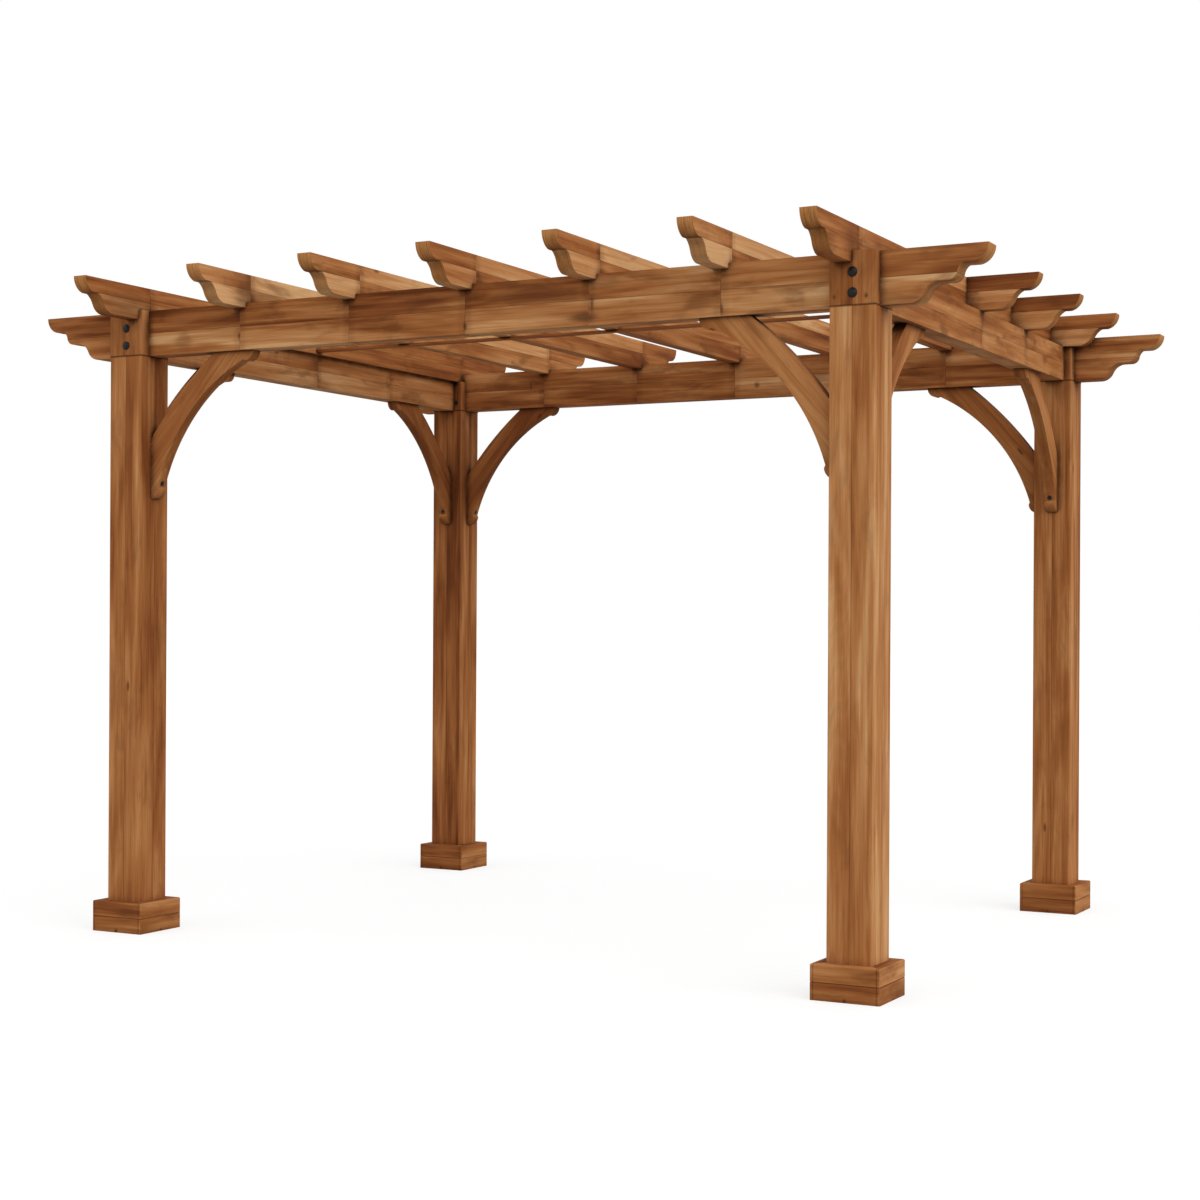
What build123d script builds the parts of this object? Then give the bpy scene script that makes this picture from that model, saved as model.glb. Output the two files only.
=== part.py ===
from build123d import *
import os

# Timber pergola, millimetres. Origin on the floor under the middle of the roof:
# +X to the right along the front beam, +Y from the front to the back, +Z up.

# Plan of the four posts, centre to centre
POST_SPAN_X = 2660.0
POST_SPAN_Y = 2080.0

# Posts: the head is cut away at the outside, and a tongue stays behind the beam
POST_SIDE = 140.0
POST_EASE = 3.0
TONGUE_THICKNESS = 34.0
BLOCK_THICKNESS = 36.0

# Boxed foot round each post: two courses of board with a fine joint between them
FOOT_SIDE = 212.0
FOOT_HEIGHT = 104.0
FOOT_EASE = 3.0
FOOT_JOINT_DEPTH = 2.0
FOOT_JOINT_HEIGHT = 2.0

# Front and back beams
BEAM_BOTTOM_Z = 1982.0
BEAM_HEIGHT = 156.0
BEAM_TAIL = 318.0

# Scrolled end of a beam, from the top corner down: nose, flat, upper curve, ledge, lower curve
BEAM_NOSE_HEIGHT = 51.0
BEAM_NOSE_LENGTH = 42.0
BEAM_FLAT = 33.0
BEAM_UPPER_CURVE_HEIGHT = 46.0
BEAM_UPPER_CURVE_LENGTH = 42.0
BEAM_UPPER_CURVE_TURN = 15.0
BEAM_LEDGE = 27.0
BEAM_LOWER_CURVE_LENGTH = 86.0
BEAM_LOWER_CURVE_TURN = 42.0

# Side beams between the tongues of the front and back posts
SIDE_BEAM_THICKNESS = 74.0
SIDE_BEAM_SETBACK = 28.0

# Rafters: five in the middle, and a lower one at each end over the posts
RAFTER_THICKNESS = 51.0
RAFTER_HEIGHT = 112.0
RAFTER_TAIL = 250.0
RAFTER_NOTCH = 16.0
MIDDLE_RAFTERS = 5
MIDDLE_RAFTER_PITCH = 443.0
MIDDLE_RAFTER_SHIFT = 16.0
END_RAFTER_INSET = 29.0
END_RAFTER_DROP = 32.0
END_RAFTER_TAIL = 266.0

# Flat batten under the middle rafters, from one end rafter to the other
BATTEN_WIDTH = 38.0
BATTEN_THICKNESS = 8.0
BATTEN_OFFSET = 55.0

# Short outriggers on the side beams, set out from the back beam forwards
OUTRIGGERS = 3
OUTRIGGER_PITCH = 505.0
OUTRIGGER_TAIL = 197.0

# Scrolled end of a rafter or an outrigger: nose, flat, curve
RAFTER_NOSE_HEIGHT = 51.0
RAFTER_NOSE_LENGTH = 41.0
RAFTER_FLAT = 22.0
RAFTER_CURVE_LENGTH = 74.0
RAFTER_CURVE_TURN = 28.0

# Curved braces: reach along the beam and drop down the post, for both edges
BRACE_THICKNESS = 40.0
BRACE_REACH = 435.0
BRACE_DROP = 490.0
BRACE_BACK_REACH = 270.0
BRACE_BACK_DROP = 285.0
BRACE_BOW = 60.0
BRACE_BACK_BOW = 14.0
BRACE_NOSE_LENGTH = 32.0
BRACE_NOSE_HEIGHT = 34.0
BRACE_NICK_LENGTH = 9.0
BRACE_NICK_HEIGHT = 4.0

os.makedirs("parts", exist_ok=True)

BEAM_TOP_Z = BEAM_BOTTOM_Z + BEAM_HEIGHT
END_RAFTER_BOTTOM_Z = BEAM_TOP_Z - END_RAFTER_DROP
BEAM_THICKNESS = POST_SIDE - TONGUE_THICKNESS - BLOCK_THICKNESS
HALF_POST = POST_SIDE / 2
POST_X = POST_SPAN_X / 2
POST_Y = POST_SPAN_Y / 2
POST_OUTER_Y = POST_Y + HALF_POST
BEAM_INNER_Y = POST_Y - HALF_POST + TONGUE_THICKNESS
BEAM_OUTER_Y = BEAM_INNER_Y + BEAM_THICKNESS
SIDE_BEAM_OUTER_X = POST_X + HALF_POST - SIDE_BEAM_SETBACK
END_RAFTER_X = POST_X - END_RAFTER_INSET
CORNERS = {
    "front_left": (-1, -1),
    "front_right": (1, -1),
    "back_left": (-1, 1),
    "back_right": (1, 1),
}


def span_box(xs, ys, zs):
    """A box given by its two ends on each axis, in any order."""
    x0, x1 = sorted(xs)
    y0, y1 = sorted(ys)
    z0, z1 = sorted(zs)
    block = Box(x1 - x0, y1 - y0, z1 - z0)
    return Pos((x0 + x1) / 2, (y0 + y1) / 2, (z0 + z1) / 2) * block


def nose(corner, length, height):
    """Round end that leaves a timber's top corner plumb, and its lower point."""
    low = (corner[0] - length, corner[1] - height)
    return TangentArc(corner, low, tangent=(0, -1)), low


def scroll(start, length, height, turn):
    """S curve of a hollow and a round that runs out level, and its lower point.

    The hollow meets the round at the turn, half way down.
    """
    end = (start[0] - length, start[1] - height)
    middle = (start[0] - turn, start[1] - height / 2)
    rounding = TangentArc(end, middle, tangent=(1, 0))
    hollow = TangentArc(middle, start, tangent=rounding % 1)
    return [hollow, rounding], end


def rafter_end(reach, bottom):
    """Edges of a rafter or outrigger end, and the point where they meet the underside."""
    top = bottom + RAFTER_HEIGHT
    drop = RAFTER_HEIGHT - RAFTER_NOSE_HEIGHT
    round_edge, low = nose((reach, top), RAFTER_NOSE_LENGTH, RAFTER_NOSE_HEIGHT)
    step = (low[0] - RAFTER_FLAT, low[1])
    curves, foot_point = scroll(step, RAFTER_CURVE_LENGTH, drop, RAFTER_CURVE_TURN)
    return [round_edge, Line(low, step)] + curves, foot_point


def beam_end(reach):
    """Edges of a beam end, and the point where they meet the underside."""
    round_edge, low = nose((reach, BEAM_TOP_Z), BEAM_NOSE_LENGTH, BEAM_NOSE_HEIGHT)
    step = (low[0] - BEAM_FLAT, low[1])
    upper, ledge = scroll(
        step, BEAM_UPPER_CURVE_LENGTH, BEAM_UPPER_CURVE_HEIGHT, BEAM_UPPER_CURVE_TURN
    )
    ledge_end = (ledge[0] - BEAM_LEDGE, ledge[1])
    lower_height = ledge[1] - BEAM_BOTTOM_Z
    lower, foot_point = scroll(
        ledge_end, BEAM_LOWER_CURVE_LENGTH, lower_height, BEAM_LOWER_CURVE_TURN
    )
    return [round_edge, Line(low, step)] + upper + [Line(ledge, ledge_end)] + lower, foot_point


def two_ended(end_edges, reach, foot_point, top):
    """Closed side view of a timber with the same end at both sides."""
    edges = list(end_edges)
    edges += [edge.mirror(Plane.YZ) for edge in end_edges]
    edges.append(Line((-foot_point[0], foot_point[1]), foot_point))
    edges.append(Line((-reach, top), (reach, top)))
    return make_face(Wire(edges))


def along_x(face, y_middle, thickness):
    """Timber with its side view in the XZ plane."""
    return Pos(0, y_middle + thickness / 2, 0) * extrude(Plane.XZ * face, thickness)


def along_y(face, x_middle, thickness):
    """Timber with its side view in the YZ plane."""
    return Pos(x_middle - thickness / 2, 0, 0) * extrude(Plane.YZ * face, thickness)


def long_beam(sy):
    """Front or back beam: both ends scrolled, resting in the post heads."""
    reach = POST_X + HALF_POST + BEAM_TAIL
    edges, foot_point = beam_end(reach)
    face = two_ended(edges, reach, foot_point, BEAM_TOP_Z)
    return along_x(face, sy * (BEAM_INNER_Y + BEAM_OUTER_Y) / 2, BEAM_THICKNESS)


def post(sx, sy):
    """Post with its head cut down to a tongue on the inner side."""
    half = (-HALF_POST, HALF_POST)
    shaft = span_box(half, half, (0, END_RAFTER_BOTTOM_Z))
    shaft = chamfer(shaft.edges().filter_by(Axis.Z), POST_EASE)
    cut_away = (sy * (TONGUE_THICKNESS - HALF_POST), sy * HALF_POST)
    seat = span_box(half, cut_away, (BEAM_BOTTOM_Z, END_RAFTER_BOTTOM_Z))
    return Pos(sx * POST_X, sy * POST_Y, 0) * (shaft - seat)


def head_block(sx, sy):
    """Block on the outside of the beam, in line with the post and flush with the beam top."""
    xs = (sx * (POST_X - HALF_POST), sx * (POST_X + HALF_POST))
    return span_box(xs, (sy * BEAM_OUTER_Y, sy * POST_OUTER_Y), (BEAM_BOTTOM_Z, BEAM_TOP_Z))


def foot(sx, sy):
    """Boxed foot: a square ring round the post, jointed at half its height."""
    half = FOOT_SIDE / 2
    inside = half - FOOT_JOINT_DEPTH
    core = (-HALF_POST, HALF_POST)
    middle = FOOT_HEIGHT / 2
    groove = (middle - FOOT_JOINT_HEIGHT / 2, middle + FOOT_JOINT_HEIGHT / 2)
    ring = span_box((-half, half), (-half, half), (0, FOOT_HEIGHT))
    ring = chamfer(ring.edges().group_by(Axis.Z)[-1] + ring.edges().filter_by(Axis.Z), FOOT_EASE)
    band = span_box((-half, half), (-half, half), groove)
    band = band - span_box((-inside, inside), (-inside, inside), groove)
    ring = ring - band - span_box(core, core, (0, FOOT_HEIGHT))
    return Pos(sx * POST_X, sy * POST_Y, 0) * ring


def side_beam(sx):
    """Beam from the tongue of a front post to the tongue of a back post."""
    xs = (sx * (SIDE_BEAM_OUTER_X - SIDE_BEAM_THICKNESS), sx * SIDE_BEAM_OUTER_X)
    length = POST_Y - HALF_POST
    return span_box(xs, (-length, length), (BEAM_BOTTOM_Z, END_RAFTER_BOTTOM_Z))


def rafter(x, bottom, seat_outer_y, tail):
    """Rafter with scrolled tails, notched down over its seats at the front and the back."""
    reach = seat_outer_y + tail
    edges, foot_point = rafter_end(reach, bottom)
    face = two_ended(edges, reach, foot_point, bottom + RAFTER_HEIGHT)
    body = along_y(face, x, RAFTER_THICKNESS)
    half = RAFTER_THICKNESS / 2
    for sy in (-1, 1):
        seat_ys = (sy * BEAM_INNER_Y, sy * seat_outer_y)
        body = body - span_box((x - half, x + half), seat_ys, (bottom, BEAM_TOP_Z))
    return body


def middle_rafter(x):
    """Rafter over the two long beams."""
    return rafter(x, BEAM_TOP_Z - RAFTER_NOTCH, BEAM_OUTER_Y, RAFTER_TAIL)


def end_rafter(sx):
    """Lower rafter over the long beams and their head blocks."""
    return rafter(sx * END_RAFTER_X, END_RAFTER_BOTTOM_Z, POST_OUTER_Y, END_RAFTER_TAIL)


def middle_batten():
    """Flat batten across the undersides of the middle rafters, near the middle of the roof."""
    length = END_RAFTER_X - RAFTER_THICKNESS / 2
    top = BEAM_TOP_Z - RAFTER_NOTCH
    half = BATTEN_WIDTH / 2
    ys = (-BATTEN_OFFSET - half, half - BATTEN_OFFSET)
    return span_box((-length, length), ys, (top - BATTEN_THICKNESS, top))


def outrigger(sx, y):
    """Short tail on top of a side beam, butted against the end rafter."""
    inner = END_RAFTER_X + RAFTER_THICKNESS / 2
    reach = SIDE_BEAM_OUTER_X + OUTRIGGER_TAIL
    top = END_RAFTER_BOTTOM_Z + RAFTER_HEIGHT
    edges, foot_point = rafter_end(reach, END_RAFTER_BOTTOM_Z)
    edges.append(Line(foot_point, (inner, END_RAFTER_BOTTOM_Z)))
    edges.append(Line((inner, END_RAFTER_BOTTOM_Z), (inner, top)))
    edges.append(Line((inner, top), (reach, top)))
    body = along_x(make_face(Wire(edges)), y, RAFTER_THICKNESS)
    return body if sx > 0 else body.mirror(Plane.YZ)


def brace_profile():
    """Brace in its own plane: level distance from the post, height from the beam."""
    tip, low = nose((BRACE_REACH, 0), BRACE_NOSE_LENGTH, BRACE_NOSE_HEIGHT)
    start = (low[0] - BRACE_NICK_LENGTH, low[1] + BRACE_NICK_HEIGHT)
    heel_out = (BRACE_NOSE_HEIGHT, BRACE_NOSE_LENGTH - BRACE_DROP)
    heel = TangentArc((0, -BRACE_DROP), heel_out, tangent=(1, 0))
    end = (heel_out[0] - BRACE_NICK_HEIGHT, heel_out[1] + BRACE_NICK_LENGTH)
    front_edge = SagittaArc(start, end, -BRACE_BOW)
    back_edge = SagittaArc((BRACE_BACK_REACH, 0), (0, -BRACE_BACK_DROP), -BRACE_BACK_BOW)
    edges = [
        tip,
        Line(low, start),
        front_edge,
        Line(end, heel_out),
        heel,
        Line((0, -BRACE_DROP), (0, -BRACE_BACK_DROP)),
        back_edge,
        Line((BRACE_BACK_REACH, 0), (BRACE_REACH, 0)),
    ]
    return make_face(Wire(edges))


def brace(sx, sy, runs_along_x):
    """One of the eight curved braces, drawn at the front left and mirrored."""
    flat = brace_profile()
    if runs_along_x:
        solid = Pos(HALF_POST - POST_X, 0, BEAM_BOTTOM_Z) * along_x(flat, 0, BRACE_THICKNESS)
        solid = solid if sx < 0 else solid.mirror(Plane.YZ)
        return Pos(0, sy * POST_Y, 0) * solid
    solid = Pos(0, HALF_POST - POST_Y, BEAM_BOTTOM_Z) * along_y(flat, 0, BRACE_THICKNESS)
    solid = solid if sy < 0 else solid.mirror(Plane.XZ)
    return Pos(sx * POST_X, 0, 0) * solid


nodes = {}
for corner, (sx, sy) in CORNERS.items():
    nodes[corner + "_post"] = post(sx, sy)
    nodes[corner + "_post_foot"] = foot(sx, sy)
    nodes[corner + "_beam_block"] = head_block(sx, sy)
    nodes[corner + "_brace_along_beam"] = brace(sx, sy, True)
    nodes[corner + "_brace_along_side"] = brace(sx, sy, False)

for end_name, sy in {"front": -1, "back": 1}.items():
    nodes[end_name + "_beam"] = long_beam(sy)

for side_name, sx in {"left": -1, "right": 1}.items():
    nodes[side_name + "_side_beam"] = side_beam(sx)
    last_y = BEAM_INNER_Y - RAFTER_THICKNESS / 2
    for index in range(OUTRIGGERS):
        y = last_y - (OUTRIGGERS - 1 - index) * OUTRIGGER_PITCH
        nodes[f"{side_name}_outrigger_{index + 1}"] = outrigger(sx, y)

nodes["middle_batten"] = middle_batten()
nodes["rafter_1"] = end_rafter(-1)
for index in range(MIDDLE_RAFTERS):
    x = MIDDLE_RAFTER_SHIFT + (index - (MIDDLE_RAFTERS - 1) / 2) * MIDDLE_RAFTER_PITCH
    nodes[f"rafter_{index + 2}"] = middle_rafter(x)
nodes[f"rafter_{MIDDLE_RAFTERS + 2}"] = end_rafter(1)

for name, shape in nodes.items():
    export_step(shape, f"parts/{name}.step")
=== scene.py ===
import math

import bmesh
import bpy
from mathutils import Matrix, Vector
from mathutils.bvhtree import BVHTree


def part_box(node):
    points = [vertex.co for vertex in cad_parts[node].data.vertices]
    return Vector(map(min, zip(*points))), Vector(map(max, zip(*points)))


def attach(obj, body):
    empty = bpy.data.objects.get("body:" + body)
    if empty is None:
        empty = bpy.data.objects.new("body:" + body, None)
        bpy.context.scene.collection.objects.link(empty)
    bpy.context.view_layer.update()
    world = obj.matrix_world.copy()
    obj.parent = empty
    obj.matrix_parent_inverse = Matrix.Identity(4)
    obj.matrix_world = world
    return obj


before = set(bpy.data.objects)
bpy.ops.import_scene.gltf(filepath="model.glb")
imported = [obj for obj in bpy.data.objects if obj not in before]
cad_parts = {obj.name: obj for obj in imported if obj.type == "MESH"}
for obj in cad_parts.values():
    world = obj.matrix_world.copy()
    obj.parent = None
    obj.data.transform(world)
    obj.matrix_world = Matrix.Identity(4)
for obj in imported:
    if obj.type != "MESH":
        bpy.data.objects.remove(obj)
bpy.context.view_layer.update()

# Everything below is in metres, in the frame of the CAD model:
# +X to the right along the front beam, +Y to the back, +Z up.
X, Y, Z = Vector((1, 0, 0)), Vector((0, 1, 0)), Vector((0, 0, 1))

# Camera: place, turn and roll to the left in radians, and the lens in millimetres for a square picture
CAMERA_PLACE = Vector((3.457, -6.659, 1.086))
CAMERA_TURN = 0.4864
CAMERA_ROLL = 0.0051
LENS = 62.18
LENS_SHIFT_Y = 0.0154
SENSOR = 36.0

# Light: the strength of the white surroundings as light and to the eye, and two soft suns
SURROUNDINGS = 0.62
SEEN_SURROUNDINGS = 1.0
KEY_FROM = Vector((0.95, -0.35, 0.70))
KEY_STRENGTH = 1.65
FILL_FROM = Vector((-0.45, -0.90, 0.50))
FILL_STRENGTH = 0.60
SUN_WIDTH = math.radians(70)

# Floor: its own grey, and the glow that lifts it to white for the eye but not as light
FLOOR_GREY = 0.32
FLOOR_LIFT = 0.70
FLOOR_ROUGHNESS = 0.9
FLOOR_SPECULAR = 0.1
FLOOR_REACH = 200.0

# Timber sizes read from the frame, and the height of the rafters' noses
POST_LOW, POST_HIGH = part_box("front_right_post")
BLOCK_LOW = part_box("front_right_beam_block")[0]
BEAM_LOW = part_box("front_beam")[0]
BRACE_LOW, BRACE_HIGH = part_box("front_right_brace_along_beam")
POST_X = (POST_LOW[0] + POST_HIGH[0]) / 2
POST_Y = -(POST_LOW[1] + POST_HIGH[1]) / 2
HALF_POST = (POST_HIGH[0] - POST_LOW[0]) / 2
BLOCK_FACE_Y = -BLOCK_LOW[1]
BEAM_OUTER_Y = -BEAM_LOW[1]
BRACE_REACH = BRACE_HIGH[0] - BRACE_LOW[0]
BRACE_DROP = BRACE_HIGH[2] - BRACE_LOW[2]
NOSE_HEIGHT = 0.051

# Fasteners. The shapes of rim and dome are shares of the head's height and radius.
BOLT_RADIUS = 0.0145
BOLT_HEIGHT = 0.007
BOLT_HEIGHTS_OVER_BEAM_BOTTOM = (0.036, 0.095)
SCREW_RADIUS = 0.0085
SCREW_HEIGHT = 0.004
SCREW_FROM_TIP = 0.052
TONGUE_SCREW_SHIFT = 0.046
TONGUE_SCREW_HEIGHTS_OVER_BEAM_BOTTOM = (0.033, 0.118)
ROUND_STEPS = 24
DOME_STEPS = 5
RIM_HEIGHT = 0.30
RIM_WALL = 0.24
RIM_TOP_RADIUS = 0.94
DOME_RADIUS = 0.82

# Eased edges
EDGE_WIDTH = 0.0028
EDGE_STEPS = 2
EDGE_ANGLE = math.radians(40)

# Lap joints at the corners of the feet
FOOT_LAP = 0.010


def display_colour(red, green, blue):
    """Linear colour from the values a screen shows, each from 0 to 1."""
    def linear(value):
        return value / 12.92 if value <= 0.04045 else ((value + 0.055) / 1.055) ** 2.4
    return (linear(red), linear(green), linear(blue), 1.0)


WHITE = (1.0, 1.0, 1.0, 1.0)

# Wood colours, and the place of five of them on the scale of tones from dark to pale
DARK_HEART = display_colour(0.36, 0.19, 0.085)
RED_BROWN = display_colour(0.53, 0.300, 0.150)
MID_BROWN = display_colour(0.66, 0.415, 0.225)
HONEY = display_colour(0.765, 0.53, 0.325)
PALE = display_colour(0.87, 0.68, 0.475)
END_GRAIN = display_colour(0.84, 0.60, 0.36)
END_GRAIN_DARK = display_colour(0.58, 0.35, 0.145)
SMOKE = display_colour(0.37, 0.195, 0.10)
# Near black for knots, dark joints and stains, and also for the painted shade in corners
STAIN_AND_SHADE = display_colour(0.13, 0.062, 0.028)
TONES = ((0.05, DARK_HEART), (0.28, RED_BROWN), (0.50, MID_BROWN), (0.72, HONEY), (0.98, PALE))
MIDDLE_TONE = 0.5

# Patterns, each as scale along the grain and across it, detail, roughness and distortion
BROAD_STREAKS = (1.5, 15.0, 2.0, 0.5, 0.7)
STREAKS = (2.4, 48.0, 3.0, 0.55, 0.4)
THREADS = (4.0, 150.0, 2.0, 0.5, 0.0)
FIBRES = (14.0, 520.0, 2.0, 0.6, 0.0)
CLOUDS = (4.5, 13.0, 3.0, 0.6, 0.5)
RING_FIELD = (0.45, 8.0, 1.0, 0.5, 0.0)
RING_TURNS = 150.0
STAVE_SHIFT = (17.0, 23.0, 29.0)
PIECE_SHIFT = 3.1

# How far each pattern moves the tone, and how strongly the finest ones darken the colour.
# A range says where something starts and where it is full.
BROAD_WEIGHT = 0.95
STREAK_WEIGHT = 0.55
THREAD_WEIGHT = 0.30
RING_WEIGHT = 0.05
RING_RANGE = (0.70, 1.0)
RING_DARKNESS = 0.10
FIBRE_RANGE = (0.35, 0.65)
FIBRE_DARKNESS = 0.10
CLOUD_RANGE = (0.50, 0.72)
HALO_SMOKE = 0.45

# Knots and marks
KNOT_SCALE = (2.3, 7.0, 7.0)
KNOT_RANGE = (0.02, 0.055)
MARK_WOBBLE = 2.6
MARK_RANGE = (0.1, 1.6)
MARK_EYE = 0.7

# End grain
END_FACE_RANGE = (0.30, 0.75)
END_LINE_SCALE = (9.0, 300.0, 9.0)
END_LINE_DETAIL = 2.0
END_LINE_RANGE = (0.35, 0.75)
END_LINE_ROUGHNESS = 0.6
LOWER_END_DARKNESS = 0.55
END_GRAIN_STRENGTH = 0.65

# Joints: half widths of their lines and of the smoky band beside a butt joint
GLUE_HALF_WIDTH = 0.0016
BUTT_HALF_WIDTH = 0.0020
HALO_HALF_WIDTH = 0.035
LAP_HALF_WIDTH = 0.0022
SEAM_HALF_WIDTH = 0.0045
SEAM_STRENGTH = 0.7

# Patches that break up the butt joints and the painted corner shade
PATCH_SCALE = (14.0, 14.0, 14.0)
PATCH_DETAIL = 3.0
PATCH_ROUGHNESS = 0.6
PATCH_RANGE = (0.36, 0.62)

# Painted shade in corners and where timbers meet, each as reach, where it starts, where it is full, and
# strength.
# The painted shade that is left near the floor grows to its full share between two heights.
CORNER_SHADE = ((0.10, 0.20, 0.65, 0.55), (0.036, 0.20, 0.52, 0.80))
CORNER_SHADE_EVENNESS = 0.45
CORNER_SHADE_SAMPLES = 6
SHADE_NEAR_FLOOR_HEIGHTS = (0.15, 0.40)

# Surface: roughness from its least value, and relief
LEAST_ROUGHNESS = 0.68
STREAK_ROUGHNESS = 0.20
WOOD_SPECULAR = 0.08
FIBRE_RELIEF = 0.5
GROOVE_RELIEF = -1.5
RELIEF_STRENGTH = 0.35
RELIEF_DEPTH = 0.0012

# Dark coated steel with worn spots
STEEL_DARK = display_colour(0.055, 0.045, 0.035)
STEEL_WORN = display_colour(0.17, 0.145, 0.115)
STEEL_SPOT_SCALE = (240.0, 240.0, 240.0)
STEEL_SPOT_DETAIL = 3.0
STEEL_SPOT_ROUGHNESS = 0.6
STEEL_SPOT_RANGE = (0.45, 0.75)
STEEL_ROUGHNESS = 0.45
STEEL_SPECULAR = 0.2

# Share of a line's half width that is fully dark
LINE_CORE = 0.25


class Shader:
    """A material and short ways to add nodes to it."""

    def __init__(self, name):
        self.material = bpy.data.materials.new(name)
        self.material.use_nodes = True
        self.nodes = self.material.node_tree.nodes
        self.links = self.material.node_tree.links
        self.nodes.clear()

    def add(self, kind, inputs, **settings):
        made = self.nodes.new(kind)
        for key, value in settings.items():
            setattr(made, key, value)
        for key, value in inputs.items():
            if isinstance(value, bpy.types.NodeSocket):
                self.links.new(value, made.inputs[key])
            else:
                made.inputs[key].default_value = value
        return made

    def maths(self, operation, first, second=0.0, third=0.0):
        inputs = {0: first, 1: second, 2: third}
        return self.add("ShaderNodeMath", inputs, operation=operation).outputs[0]

    def weighted(self, value, weight, start):
        """start + weight * (value - 0.5)"""
        centred = self.maths("SUBTRACT", value, 0.5)
        return self.maths("MULTIPLY_ADD", centred, weight, start)

    def vector(self, operation, first, second, third=(0.0, 0.0, 0.0)):
        inputs = {0: first, 1: second, 2: third}
        return self.add("ShaderNodeVectorMath", inputs, operation=operation).outputs[0]

    def dot(self, first, second):
        inputs = {0: first, 1: second}
        return self.add("ShaderNodeVectorMath", inputs, operation="DOT_PRODUCT").outputs[1]

    def combine(self, first, second, third):
        return self.add("ShaderNodeCombineXYZ", {0: first, 1: second, 2: third}).outputs[0]

    def mix(self, factor, first, second):
        inputs = {0: factor, 6: first, 7: second}
        return self.add("ShaderNodeMix", inputs, data_type="RGBA").outputs[2]

    def noise(self, vector, detail, roughness=0.5, distortion=0.0):
        inputs = {"Vector": vector, "Scale": 1.0, "Detail": detail}
        inputs["Roughness"] = roughness
        inputs["Distortion"] = distortion
        return self.add("ShaderNodeTexNoise", inputs).outputs[0]

    def between(self, value, low, high):
        """0 below low, 1 above high, smooth between."""
        inputs = {"Value": value, "From Min": low, "From Max": high}
        made = self.add("ShaderNodeMapRange", inputs, interpolation_type="SMOOTHSTEP")
        return made.outputs[0]

    def line(self, value, place, half_width):
        """1 where value is at place, 0 from half_width away."""
        gap = self.maths("ABSOLUTE", self.maths("SUBTRACT", value, place))
        return self.maths("SUBTRACT", 1.0, self.between(gap, half_width * LINE_CORE, half_width))

    def ramp(self, value, stops):
        made = self.add("ShaderNodeValToRGB", {0: value})
        elements = made.color_ramp.elements
        while len(elements) < len(stops):
            elements.new(0.5)
        for element, (place, colour) in zip(elements, stops):
            element.position = place
            element.color = colour
        return made.outputs[0]

    def surface(self, inputs):
        shader = self.add("ShaderNodeBsdfPrincipled", inputs)
        self.add("ShaderNodeOutputMaterial", {0: shader.outputs[0]})


class Timber:
    """How one piece was sawn and glued, and how its wood looks."""

    # Tones are added to the scale from dark to pale: on the whole piece, between its staves,
    # on alternate staves, for each metre right or back of the middle, and on its left and right sides,
    # where the tone is painted light and shade for how the light falls on those sides
    tone = 0.0
    layer_tone = 0.0
    checker_tone = 0.0
    drift = 0.0
    painted_side_light = 0.0

    # Strengths of the pattern, of what differs from stave to stave, and of what darkens the wood
    contrast = 1.0
    variety = 0.14
    smoke = 0.5
    knots = 0.6
    butt_strength = 0.75
    glue_strength = 0.38
    lap_strength = 0.45

    # Share of the painted corner shade that is left near the floor
    shade_near_floor = 1.0

    # Seams as (axis, place) and marks as (along, level, half length, half width, strength)
    seams = ()
    marks = ()

    def __init__(self, grain, thin, glue=(), butts=(), boxed_at=None):
        """Ways along the grain and through the thin side, glue lines as (axis, place),
        places of butt joints along the grain, and the middle of a boxed foot.
        """
        self.grain = grain.normalized()
        self.thin = thin
        self.glue = glue
        self.butts = butts
        self.boxed_at = boxed_at


def middle_of(name):
    """Middle of a CAD node."""
    low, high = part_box(name)
    return [(low[index] + high[index]) / 2 for index in range(3)]


# Butt joints: in a beam under each inner rafter, in a side beam at its two front outriggers,
# and in a rafter over each beam, this far in from the beam's outer side
FRONT_JOINT_INSET = 0.025
BACK_JOINT_INSET = 0.070
RAFTER_PLACES = [middle_of(f"rafter_{number}")[0] for number in range(2, 7)]
OUTRIGGER_PLACES = [middle_of(f"right_outrigger_{number}")[1] for number in (1, 2)]
RAFTER_JOINTS = (FRONT_JOINT_INSET - BEAM_OUTER_Y, BEAM_OUTER_Y - BACK_JOINT_INSET)

# A drift of tone starts at the middle of a piece and ends this far along it
DRIFT_END = 0.85

# How strongly the staves of a rafter alternate, and tones of single pieces.
# The back left post, foot and braces are darker as painted shade.
RAFTER_CHECKER = {
    "rafter_1": 0.02,
    "rafter_2": 0.14,
    "rafter_3": 0.12,
    "rafter_4": 0.08,
    "rafter_5": 0.18,
    "rafter_6": 0.20,
    "rafter_7": 0.10,
}
PIECE_TONES_AND_SHADE = {
    "front_left_post": 0.02,
    "front_right_post": 0.11,
    "back_left_post": -0.16,
    "back_right_post": 0.05,
    "front_left_post_foot": -0.10,
    "back_left_post_foot": -0.14,
    "left_side_beam": 0.18,
    "right_side_beam": 0.06,
    "rafter_1": -0.13,
    "rafter_2": 0.10,
    "rafter_6": 0.18,
    "rafter_7": -0.12,
    "front_left_brace_along_beam": 0.05,
    "back_left_brace_along_beam": -0.16,
    "back_left_brace_along_side": -0.12,
}
# Painted light and shade on the left and right sides of single posts
POST_PAINTED_SIDE_LIGHT = {"front_left_post": -0.08, "back_left_post": 0.24}

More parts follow.
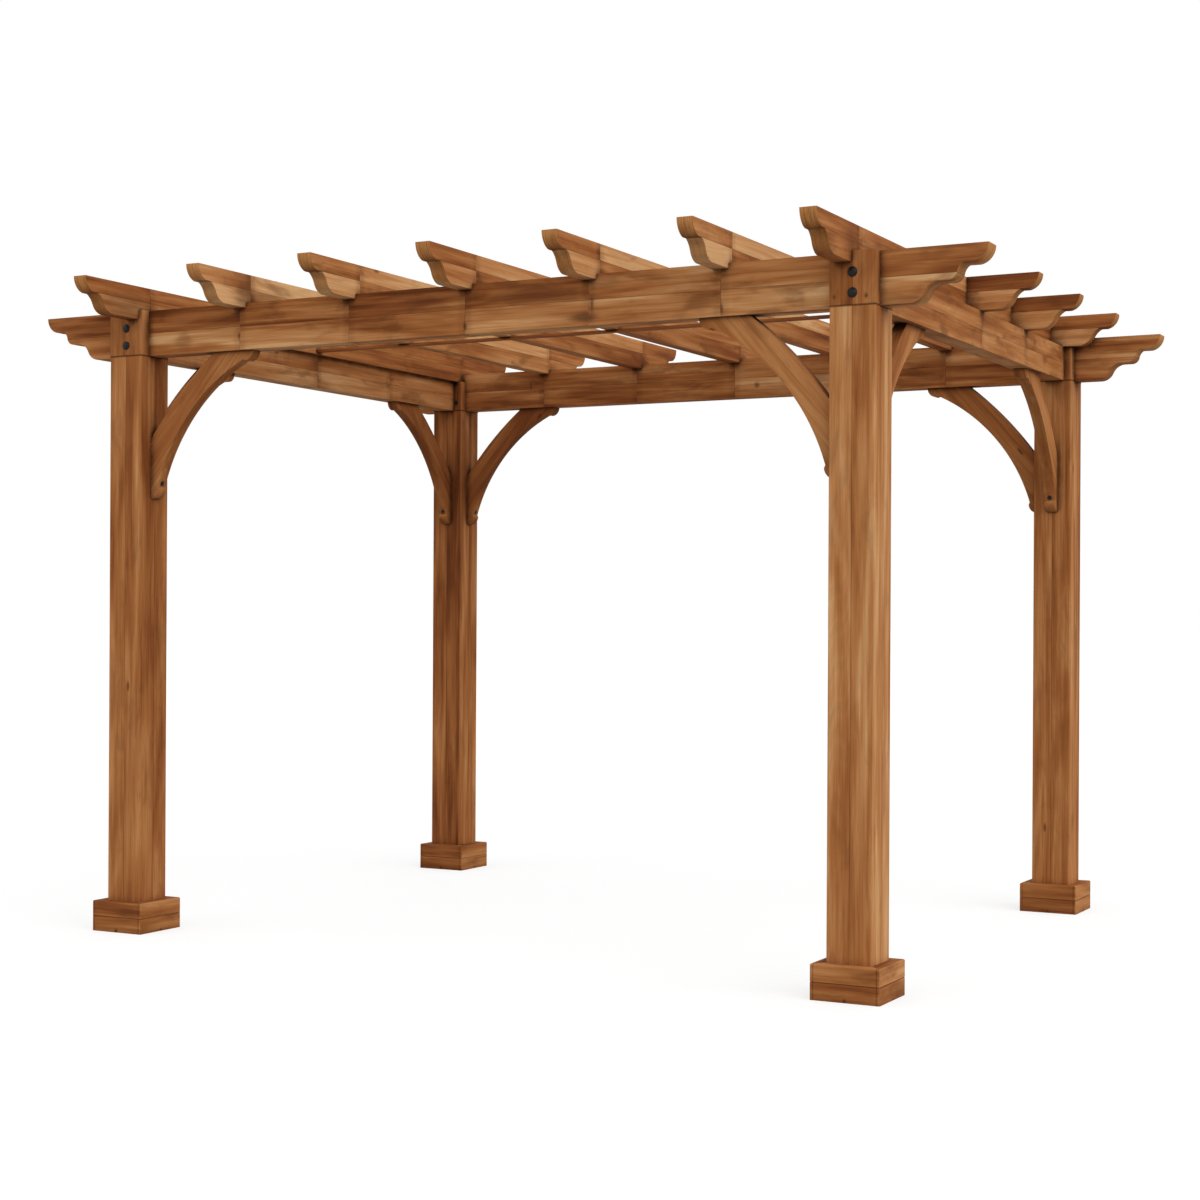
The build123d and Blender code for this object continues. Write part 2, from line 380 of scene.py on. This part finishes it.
# Knots and dark smudges as (along the grain, level, half length, half width, strength).
# The level is the height, or the place from left to right where the grain is upright.
# A foot has its mark in the middle of each side, so that one goes without its first number.
FOOT_MARK = (0.004, 0.006, 0.007, 0.62)
BEAM_MARKS = {
    "front_beam": (
        (-1.110, 2.032, 0.028, 0.026, 0.22),
        (-0.873, 2.030, 0.005, 0.012, 0.5),
        (0.017, 2.005, 0.007, 0.014, 0.6),
        (0.440, 2.008, 0.050, 0.013, 0.55),
        (0.470, 2.048, 0.007, 0.026, 0.5),
        (0.905, 2.004, 0.005, 0.018, 0.5),
    ),
    "back_beam": (
        (-0.934, 2.075, 0.006, 0.022, 0.5),
        (0.114, 2.030, 0.012, 0.012, 0.5),
    ),
}
RAFTER_MARKS = {
    "rafter_1": ((-1.165, 2.140, 0.120, 0.050, 0.35),),
    "rafter_2": ((-1.085, 2.175, 0.060, 0.050, 0.45),),
    "rafter_7": ((-1.110, 2.170, 0.060, 0.050, 0.3),),
}
BLOCK_MARKS = {
    "front_right_beam_block": (
        (2.008, 1.275, 0.008, 0.006, 0.6),
        (2.007, 1.372, 0.009, 0.007, 0.6),
    ),
}


def brace_timber(rise_direction, thin):
    """A brace: its grain runs from its foot to its head."""
    timber = Timber(rise_direction * BRACE_REACH + Z * BRACE_DROP, thin)
    timber.tone = 0.03
    timber.contrast = 0.8
    return timber


def timber_of(name):
    """The timber of a CAD node, by its kind and place."""
    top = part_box(name)[1][2]
    middle = middle_of(name)
    side_x = math.copysign(1.0, middle[0])
    side_y = math.copysign(1.0, middle[1])
    if name.endswith("_foot"):
        timber = Timber(X, Y, glue=[(2, middle[2])], boxed_at=(middle[0], middle[1]))
        timber.tone = -0.07
        # Painted light: the left and right sides of a foot are lighter
        timber.painted_side_light = 0.20
        timber.variety = 0.0
        timber.glue_strength = 0.26
        timber.shade_near_floor = 0.30
        timber.marks = [(place, *FOOT_MARK) for place in middle[:2]]
    elif name.endswith("_post"):
        timber = Timber(Z, X, glue=[(0, middle[0]), (1, middle[1])])
        timber.smoke = 0.30
        timber.painted_side_light = POST_PAINTED_SIDE_LIGHT.get(name, 0.06)
        timber.shade_near_floor = 0.30
        timber.seams = [(2, BEAM_LOW[2])]
    elif name.endswith("_block"):
        timber = Timber(Z, Y, glue=[(0, middle[0])])
        timber.layer_tone = 0.06
        timber.contrast = 0.65
        timber.marks = BLOCK_MARKS.get(name, ())
        timber.seams = [(2, BEAM_LOW[2])]
    elif name.endswith("_along_beam"):
        timber = brace_timber(-side_x * X, Y)
    elif name.endswith("_along_side"):
        timber = brace_timber(-side_y * Y, X)
    elif name.endswith("_side_beam"):
        timber = Timber(Y, X, glue=[(2, middle[2])], butts=OUTRIGGER_PLACES)
        timber.layer_tone = -0.05
    elif name.endswith("_beam"):
        timber = Timber(X, Y, glue=[(2, middle[2])], butts=RAFTER_PLACES)
        timber.contrast = 1.4
        timber.butt_strength = 0.45
        timber.knots = 0.0
        timber.marks = BEAM_MARKS.get(name, ())
        if name == "front_beam":
            timber.layer_tone = -0.13
            timber.drift = 0.25
    elif "outrigger" in name:
        timber = Timber(X, Y, glue=[(2, top - NOSE_HEIGHT)])
        timber.layer_tone = -0.14
    elif name == "middle_batten":
        timber = Timber(X, Y)
        timber.tone = -0.1
    else:
        timber = Timber(Y, X, glue=[(2, top - NOSE_HEIGHT)], butts=RAFTER_JOINTS)
        timber.tone = 0.15
        timber.drift = -0.17
        timber.checker_tone = RAFTER_CHECKER[name]
        timber.marks = RAFTER_MARKS.get(name, ())
    # Tones of single pieces, where the back left ones are painted shade
    timber.tone += PIECE_TONES_AND_SHADE.get(name, 0.0)
    return timber


class Wood(Shader):
    """Glued timber with streaks, fibres, joints and stains that follow its grain."""

    def __init__(self, name, seed):
        super().__init__(name + "_wood")
        self.timber = timber_of(name)
        self.position = self.add("ShaderNodeTexCoord", {}).outputs["Object"]
        self.parts = self.add("ShaderNodeSeparateXYZ", {0: self.position}).outputs
        self.normal = self.add("ShaderNodeNewGeometry", {}).outputs["True Normal"]
        if self.timber.boxed_at:
            self.wrap_grain(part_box(name))
        else:
            self.run_grain()
        self.lay_staves(seed)
        self.draw_patterns()
        colour = self.grain_colour()
        colour = self.with_marks(colour)
        colour = self.with_end_grain(colour)
        colour = self.with_joints(colour)
        colour = self.with_corner_shade(colour)
        self.finish(colour)

    def run_grain(self):
        """Straight grain, and the faces that cut across it."""
        timber = self.timber
        self.along = self.dot(self.position, timber.grain)
        self.side = self.dot(self.position, timber.thin)
        facing = self.maths("ABSOLUTE", self.dot(self.normal, timber.grain))
        self.end_face = self.between(facing, *END_FACE_RANGE)
        self.laps = 0.0

    def wrap_grain(self, box):
        """Level grain that turns with the four sides of a foot, and a lap at each corner."""
        places = zip(self.parts, self.timber.boxed_at)
        out = [self.maths("ABSOLUTE", self.maths("SUBTRACT", part, place)) for part, place in places]
        turned = self.maths("GREATER_THAN", out[0], out[1])
        kept = self.maths("SUBTRACT", 1.0, turned)
        x, y = self.parts[0], self.parts[1]
        self.along = self.maths("MULTIPLY_ADD", y, turned, self.maths("MULTIPLY", x, kept))
        self.side = self.maths("MULTIPLY_ADD", x, turned, self.maths("MULTIPLY", y, kept))
        half = (box[1][0] - box[0][0]) / 2
        lap = self.line(self.maths("MINIMUM", out[0], out[1]), half - FOOT_LAP, LAP_HALF_WIDTH)
        self.laps = self.maths("MULTIPLY", lap, kept)
        self.end_face = 0.0

    def lay_staves(self, seed):
        """Staves side by side at the glue lines and end to end at the butt joints."""
        timber = self.timber
        across = self.dot(self.position, timber.grain.cross(timber.thin))
        self.grain_space = self.combine(self.along, self.side, across)
        self.layer = 0.0
        self.glue = 0.0
        for index, (axis, place) in enumerate(timber.glue):
            beyond = self.maths("GREATER_THAN", self.parts[axis], place)
            self.layer = self.maths("MULTIPLY_ADD", beyond, float(index + 1), self.layer)
            line = self.line(self.parts[axis], place, GLUE_HALF_WIDTH)
            self.glue = self.maths("MAXIMUM", self.glue, line)
        self.segment = 0.0
        self.butt = 0.0
        self.halo = 0.0
        for place in timber.butts:
            beyond = self.maths("GREATER_THAN", self.along, place)
            self.segment = self.maths("ADD", self.segment, beyond)
            line = self.line(self.along, place, BUTT_HALF_WIDTH)
            self.butt = self.maths("MAXIMUM", self.butt, line)
            band = self.line(self.along, place, HALO_HALF_WIDTH)
            self.halo = self.maths("MAXIMUM", self.halo, band)
        cell = self.combine(self.layer, self.segment, float(seed))
        random = self.add("ShaderNodeTexWhiteNoise", {0: cell}, noise_dimensions="3D").outputs["Color"]
        self.stave_tone = self.add("ShaderNodeSeparateColor", {0: random}).outputs[0]
        piece_shift = (seed * PIECE_SHIFT, 0.0, 0.0)
        self.shift = self.vector("MULTIPLY_ADD", random, STAVE_SHIFT, piece_shift)

    def pattern(self, along_scale, across_scale, detail, roughness, distortion):
        """A noise that is drawn out along the grain and differs from stave to stave."""
        scale = (along_scale, across_scale, across_scale)
        place = self.vector("MULTIPLY_ADD", self.grain_space, scale, self.shift)
        return self.noise(place, detail, roughness, distortion)

    def draw_patterns(self):
        """The patterns that the colour, the joints and the relief are made from."""
        self.broad = self.pattern(*BROAD_STREAKS)
        self.streak = self.pattern(*STREAKS)
        self.thread = self.pattern(*THREADS)
        self.fibre = self.pattern(*FIBRES)
        self.clouds = self.pattern(*CLOUDS)
        phase = self.maths("MULTIPLY", self.pattern(*RING_FIELD), RING_TURNS)
        self.ring = self.maths("MULTIPLY_ADD", self.maths("SINE", phase), 0.5, 0.5)
        place = self.vector("MULTIPLY", self.position, PATCH_SCALE)
        self.patches = self.noise(place, PATCH_DETAIL, PATCH_ROUGHNESS)

    def tone(self):
        """Place on the scale of tones."""
        timber = self.timber
        tone = self.weighted(self.broad, BROAD_WEIGHT * timber.contrast, MIDDLE_TONE + timber.tone)
        tone = self.weighted(self.streak, STREAK_WEIGHT * timber.contrast, tone)
        tone = self.weighted(self.thread, THREAD_WEIGHT, tone)
        tone = self.weighted(self.ring, RING_WEIGHT, tone)
        tone = self.weighted(self.stave_tone, timber.variety, tone)
        if timber.drift:
            beyond_middle = self.maths("MAXIMUM", self.along, 0.0)
            beyond_middle = self.maths("MINIMUM", beyond_middle, DRIFT_END)
            tone = self.maths("MULTIPLY_ADD", beyond_middle, timber.drift, tone)
        # Painted light and shade: faces that look left or right are made lighter or darker
        if timber.painted_side_light:
            to_side = self.maths("ABSOLUTE", self.dot(self.normal, X))
            tone = self.maths("MULTIPLY_ADD", to_side, timber.painted_side_light, tone)
        if timber.layer_tone:
            tone = self.weighted(self.layer, 2.0 * timber.layer_tone, tone)
        if timber.checker_tone:
            odd = self.maths("MODULO", self.maths("ADD", self.layer, self.segment), 2.0)
            tone = self.weighted(odd, -2.0 * timber.checker_tone, tone)
        return tone

    def grain_colour(self):
        """Colour of the grain, with dark rings and fibres, and smoke in clouds and at butt joints."""
        colour = self.ramp(self.tone(), TONES)
        rings = self.maths("MULTIPLY", self.between(self.ring, *RING_RANGE), RING_DARKNESS)
        colour = self.mix(rings, colour, DARK_HEART)
        pale_fibres = self.between(self.fibre, *FIBRE_RANGE)
        fibres = self.maths("MULTIPLY_ADD", pale_fibres, -FIBRE_DARKNESS, FIBRE_DARKNESS)
        colour = self.mix(fibres, colour, DARK_HEART)
        smoke = self.maths("MULTIPLY", self.between(self.clouds, *CLOUD_RANGE), self.timber.smoke)
        at_butts = self.maths("MULTIPLY", self.clouds, HALO_SMOKE)
        smoke = self.maths("MULTIPLY_ADD", self.halo, at_butts, smoke)
        return self.mix(smoke, colour, SMOKE)

    def with_marks(self, colour):
        """A few small dark knots where chance puts them, and the timber's own marks."""
        place = self.vector("MULTIPLY_ADD", self.grain_space, KNOT_SCALE, self.shift)
        cells = self.add("ShaderNodeTexVoronoi", {"Vector": place, "Scale": 1.0})
        knot = self.maths("SUBTRACT", 1.0, self.between(cells.outputs["Distance"], *KNOT_RANGE))
        colour = self.mix(self.maths("MULTIPLY", knot, self.timber.knots), colour, STAIN_AND_SHADE)
        upright = self.timber.grain.z > 0.5
        level = self.parts[0] if upright else self.parts[2]
        for mark_along, mark_level, half_length, half_width, strength in self.timber.marks:
            run = self.maths("DIVIDE", self.maths("SUBTRACT", self.along, mark_along), half_length)
            rise = self.maths("DIVIDE", self.maths("SUBTRACT", level, mark_level), half_width)
            squares = self.maths("MULTIPLY_ADD", run, run, self.maths("MULTIPLY", rise, rise))
            away = self.weighted(self.clouds, MARK_WOBBLE, self.maths("SQRT", squares))
            smudge = self.maths("SUBTRACT", 1.0, self.between(away, *MARK_RANGE))
            colour = self.mix(self.maths("MULTIPLY", smudge, strength), colour, SMOKE)
            eye = self.maths("MULTIPLY", self.maths("POWER", smudge, 2.0), strength * MARK_EYE)
            colour = self.mix(eye, colour, STAIN_AND_SHADE)
        return colour

    def with_end_grain(self, colour):
        """Olive tan on end faces, darker on the lower stave, with lines that follow the cut."""
        place = self.vector("MULTIPLY", self.grain_space, END_LINE_SCALE)
        lines = self.noise(place, END_LINE_DETAIL, END_LINE_ROUGHNESS)
        end_colour = self.mix(self.between(lines, *END_LINE_RANGE), END_GRAIN, END_GRAIN_DARK)
        lower = self.maths("MULTIPLY_ADD", self.layer, -LOWER_END_DARKNESS, LOWER_END_DARKNESS)
        end_colour = self.mix(lower, end_colour, END_GRAIN_DARK)
        return self.mix(self.maths("MULTIPLY", self.end_face, END_GRAIN_STRENGTH), colour, end_colour)

    def with_joints(self, colour):
        """Dark lines at butt joints, glue lines, laps and seams. Butt joints show in patches."""
        timber = self.timber
        self.butt = self.maths("MULTIPLY", self.butt, self.between(self.patches, *PATCH_RANGE))
        joints = self.maths("MULTIPLY", self.butt, timber.butt_strength)
        for line, strength in ((self.glue, timber.glue_strength), (self.laps, timber.lap_strength)):
            joints = self.maths("MAXIMUM", joints, self.maths("MULTIPLY", line, strength))
        for axis, place in timber.seams:
            seam = self.line(self.parts[axis], place, SEAM_HALF_WIDTH)
            joints = self.maths("MAXIMUM", joints, self.maths("MULTIPLY", seam, SEAM_STRENGTH))
        return self.mix(joints, colour, STAIN_AND_SHADE)

    def with_corner_shade(self, colour):
        """Painted shade in corners and where timbers meet, in patches. Posts and feet have less of it
        near the floor.
        """
        raised = self.between(self.parts[2], *SHADE_NEAR_FLOOR_HEIGHTS)
        shade_near_floor = self.timber.shade_near_floor
        kept = self.maths("MULTIPLY_ADD", raised, 1.0 - shade_near_floor, shade_near_floor)
        # Each pass paints shade, darkening the colour towards near black where ambient occlusion finds
        # timber close by
        for reach, start, full, strength in CORNER_SHADE:
            open_air = self.add("ShaderNodeAmbientOcclusion", {"Distance": reach}, samples=CORNER_SHADE_SAMPLES)
            painted_shade = self.maths("SUBTRACT", 1.0, open_air.outputs["AO"])
            painted_shade = self.maths("MULTIPLY", painted_shade, self.maths("ADD", self.patches, CORNER_SHADE_EVENNESS))
            painted_shade = self.maths("MULTIPLY", self.between(painted_shade, start, full), strength)
            colour = self.mix(self.maths("MULTIPLY", painted_shade, kept), colour, STAIN_AND_SHADE)
        return colour

    def finish(self, colour):
        """Satin surface with a fine relief of fibres and grooved joints."""
        rough = self.maths("MULTIPLY_ADD", self.streak, STREAK_ROUGHNESS, LEAST_ROUGHNESS)
        threads = self.maths("MULTIPLY", self.thread, 1.0 - FIBRE_RELIEF)
        relief = self.maths("MULTIPLY_ADD", self.fibre, FIBRE_RELIEF, threads)
        grooves = self.maths("MAXIMUM", self.maths("MAXIMUM", self.butt, self.glue), self.laps)
        relief = self.maths("MULTIPLY_ADD", grooves, GROOVE_RELIEF, relief)
        depth = {"Strength": RELIEF_STRENGTH, "Distance": RELIEF_DEPTH, "Height": relief}
        bump = self.add("ShaderNodeBump", depth)
        look = {"Base Color": colour, "Roughness": rough, "Normal": bump.outputs[0]}
        look["Specular IOR Level"] = WOOD_SPECULAR
        self.surface(look)


def dress_timber():
    """Gives each CAD node its own wood and its eased edges."""
    for index, name in enumerate(sorted(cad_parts)):
        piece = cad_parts[name]
        piece.data.materials.clear()
        piece.data.materials.append(Wood(name, index + 1).material)
        eased = piece.modifiers.new("eased_edges", "BEVEL")
        eased.width = EDGE_WIDTH
        eased.segments = EDGE_STEPS
        eased.limit_method = "ANGLE"
        eased.angle_limit = EDGE_ANGLE
        eased.harden_normals = True
        eased.use_clamp_overlap = True


def metal():
    """Dark coated steel for the heads of bolts and screws."""
    shader = Shader("dark_steel")
    position = shader.add("ShaderNodeTexCoord", {}).outputs["Object"]
    place = shader.vector("MULTIPLY", position, STEEL_SPOT_SCALE)
    spots = shader.noise(place, STEEL_SPOT_DETAIL, STEEL_SPOT_ROUGHNESS)
    colour = shader.mix(shader.between(spots, *STEEL_SPOT_RANGE), STEEL_DARK, STEEL_WORN)
    look = {"Base Color": colour, "Roughness": STEEL_ROUGHNESS, "Specular IOR Level": STEEL_SPECULAR}
    shader.surface(look)
    return shader.material


def add_dome(mesh, place, direction, radius, height):
    """One domed head with a thin flat rim, its back on the timber."""
    turn = Z.rotation_difference(direction).to_matrix().to_4x4()
    matrix = Matrix.Translation(place) @ turn
    rim = height * RIM_HEIGHT
    profile = [(radius, 0.0), (radius, height * RIM_WALL), (radius * RIM_TOP_RADIUS, rim)]
    for step in range(DOME_STEPS):
        angle = math.pi / 2 * step / DOME_STEPS
        level = rim + (height - rim) * math.sin(angle)
        profile.append((radius * DOME_RADIUS * math.cos(angle), level))
    rings = []
    for ring_radius, level in profile:
        ring = []
        for step in range(ROUND_STEPS):
            angle = 2 * math.pi * step / ROUND_STEPS
            point = Vector((ring_radius * math.cos(angle), ring_radius * math.sin(angle), level))
            ring.append(mesh.verts.new(matrix @ point))
        rings.append(ring)
    top = mesh.verts.new(matrix @ Vector((0, 0, height)))
    for lower, upper in zip(rings, rings[1:]):
        for step in range(ROUND_STEPS):
            after = (step + 1) % ROUND_STEPS
            mesh.faces.new((lower[step], lower[after], upper[after], upper[step]))
    for step in range(ROUND_STEPS):
        mesh.faces.new((rings[-1][step], rings[-1][(step + 1) % ROUND_STEPS], top))
    mesh.faces.new(tuple(reversed(rings[0])))


def heads(name, places, radius, height, material):
    """One piece made of many like heads; places holds (point, direction)."""
    mesh = bmesh.new()
    for place, direction in places:
        add_dome(mesh, place, direction, radius, height)
    data = bpy.data.meshes.new(name)
    mesh.to_mesh(data)
    mesh.free()
    for polygon in data.polygons:
        polygon.use_smooth = True
    data.materials.append(material)
    piece = bpy.data.objects.new(name, data)
    bpy.context.scene.collection.objects.link(piece)
    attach(piece, "root")


def surface_point(name, start, direction):
    """Where a ray first meets a CAD node, and the way the surface faces there."""
    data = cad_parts[name].data
    corners = [vertex.co for vertex in data.vertices]
    tree = BVHTree.FromPolygons(corners, [tuple(polygon.vertices) for polygon in data.polygons])
    point, normal, _, _ = tree.ray_cast(start, direction)
    return point, normal if normal.dot(direction) < 0 else -normal


def brace_screws(corner, sx, sy):
    """A screw on the hollow edge of each brace at a corner, over its lower tip."""
    screws = []
    post = Vector((sx * POST_X, sy * POST_Y, BEAM_LOW[2]))
    for run, level in (("beam", -sx * X), ("side", -sy * Y)):
        name = f"{corner}_brace_along_{run}"
        start = post + level * (HALF_POST + BRACE_REACH) - Z * (BRACE_DROP - SCREW_FROM_TIP)
        screws.append(surface_point(name, start, -level))
    return screws


def add_fasteners():
    """Bolts in the beam blocks, and screws in the tongues and at the lower ends of the braces."""
    steel = metal()
    bolts = []
    screws = []
    for end_name, sy in (("front", -1), ("back", 1)):
        for side_name, sx in (("left", -1), ("right", 1)):
            for level in BOLT_HEIGHTS_OVER_BEAM_BOTTOM:
                place = Vector((sx * POST_X, sy * BLOCK_FACE_Y, BEAM_LOW[2] + level))
                bolts.append((place, sy * Y))
            for level in TONGUE_SCREW_HEIGHTS_OVER_BEAM_BOTTOM:
                x = sx * (POST_X - TONGUE_SCREW_SHIFT)
                place = Vector((x, sy * (POST_Y - HALF_POST), BEAM_LOW[2] + level))
                screws.append((place, -sy * Y))
            screws += brace_screws(f"{end_name}_{side_name}", sx, sy)
    heads("block_bolts", bolts, BOLT_RADIUS, BOLT_HEIGHT, steel)
    heads("brace_and_tongue_screws", screws, SCREW_RADIUS, SCREW_HEIGHT, steel)


def add_camera():
    """Camera that looks from where the photo was taken."""
    data = bpy.data.cameras.new("camera")
    data.lens = LENS
    data.sensor_width = SENSOR
    data.shift_y = LENS_SHIFT_Y
    camera = bpy.data.objects.new("camera", data)
    bpy.context.scene.collection.objects.link(camera)
    level_right = Vector((math.cos(CAMERA_TURN), math.sin(CAMERA_TURN), 0))
    forward = Vector((-math.sin(CAMERA_TURN), math.cos(CAMERA_TURN), 0))
    right = level_right * math.cos(CAMERA_ROLL) + Z * math.sin(CAMERA_ROLL)
    true_up = Z * math.cos(CAMERA_ROLL) - level_right * math.sin(CAMERA_ROLL)
    turn = Matrix((right, true_up, -forward)).transposed()
    camera.matrix_world = Matrix.Translation(CAMERA_PLACE) @ turn.to_4x4()
    bpy.context.scene.camera = camera


def seen_or_mirrored(nodes, links):
    """1 for rays from the eye or off a gloss, 0 for light."""
    path = nodes.new("ShaderNodeLightPath")
    total = path.outputs["Is Camera Ray"]
    for name in ("Is Glossy Ray", "Is Transmission Ray"):
        largest = nodes.new("ShaderNodeMath")
        largest.operation = "MAXIMUM"
        links.new(total, largest.inputs[0])
        links.new(path.outputs[name], largest.inputs[1])
        total = largest.outputs[0]
    return total


def add_floor():
    """Plain floor that looks white to the horizon and keeps soft shadows."""
    shader = Shader("white_floor")
    plain = {"Base Color": (FLOOR_GREY, FLOOR_GREY, FLOOR_GREY, 1.0), "Roughness": FLOOR_ROUGHNESS}
    plain["Specular IOR Level"] = FLOOR_SPECULAR
    diffuse = shader.add("ShaderNodeBsdfPrincipled", plain).outputs[0]
    white = {"Color": WHITE, "Strength": FLOOR_LIFT}
    lift = shader.add("ShaderNodeEmission", white).outputs[0]
    lifted = shader.add("ShaderNodeAddShader", {0: diffuse, 1: lift}).outputs[0]
    seen = seen_or_mirrored(shader.nodes, shader.links)
    mixed = shader.add("ShaderNodeMixShader", {0: seen, 1: diffuse, 2: lifted}).outputs[0]
    shader.add("ShaderNodeOutputMaterial", {0: mixed})
    mesh = bmesh.new()
    bmesh.ops.create_grid(mesh, x_segments=1, y_segments=1, size=FLOOR_REACH)
    data = bpy.data.meshes.new("floor")
    mesh.to_mesh(data)
    mesh.free()
    data.materials.append(shader.material)
    floor = bpy.data.objects.new("floor", data)
    bpy.context.scene.collection.objects.link(floor)


def add_sun(name, from_direction, strength):
    """Wide soft sun, so its shadows have no hard edge."""
    data = bpy.data.lights.new(name, "SUN")
    data.energy = strength
    data.angle = SUN_WIDTH
    light = bpy.data.objects.new(name, data)
    light.rotation_euler = (-from_direction).to_track_quat("-Z", "Y").to_euler()
    bpy.context.scene.collection.objects.link(light)


def add_world():
    """White for the eye and in gloss, softer as light."""
    world = bpy.data.worlds.new("studio")
    bpy.context.scene.world = world
    world.use_nodes = True
    nodes = world.node_tree.nodes
    links = world.node_tree.links
    nodes.clear()
    mix = nodes.new("ShaderNodeMixShader")
    links.new(seen_or_mirrored(nodes, links), mix.inputs[0])
    for place, strength in ((1, SURROUNDINGS), (2, SEEN_SURROUNDINGS)):
        background = nodes.new("ShaderNodeBackground")
        background.inputs["Color"].default_value = WHITE
        background.inputs["Strength"].default_value = strength
        links.new(background.outputs[0], mix.inputs[place])
    output = nodes.new("ShaderNodeOutputWorld")
    links.new(mix.outputs[0], output.inputs[0])


bpy.context.scene.view_settings.view_transform = "Standard"
dress_timber()
add_fasteners()
add_camera()
add_floor()
add_world()
add_sun("key", KEY_FROM, KEY_STRENGTH)
add_sun("fill", FILL_FROM, FILL_STRENGTH)
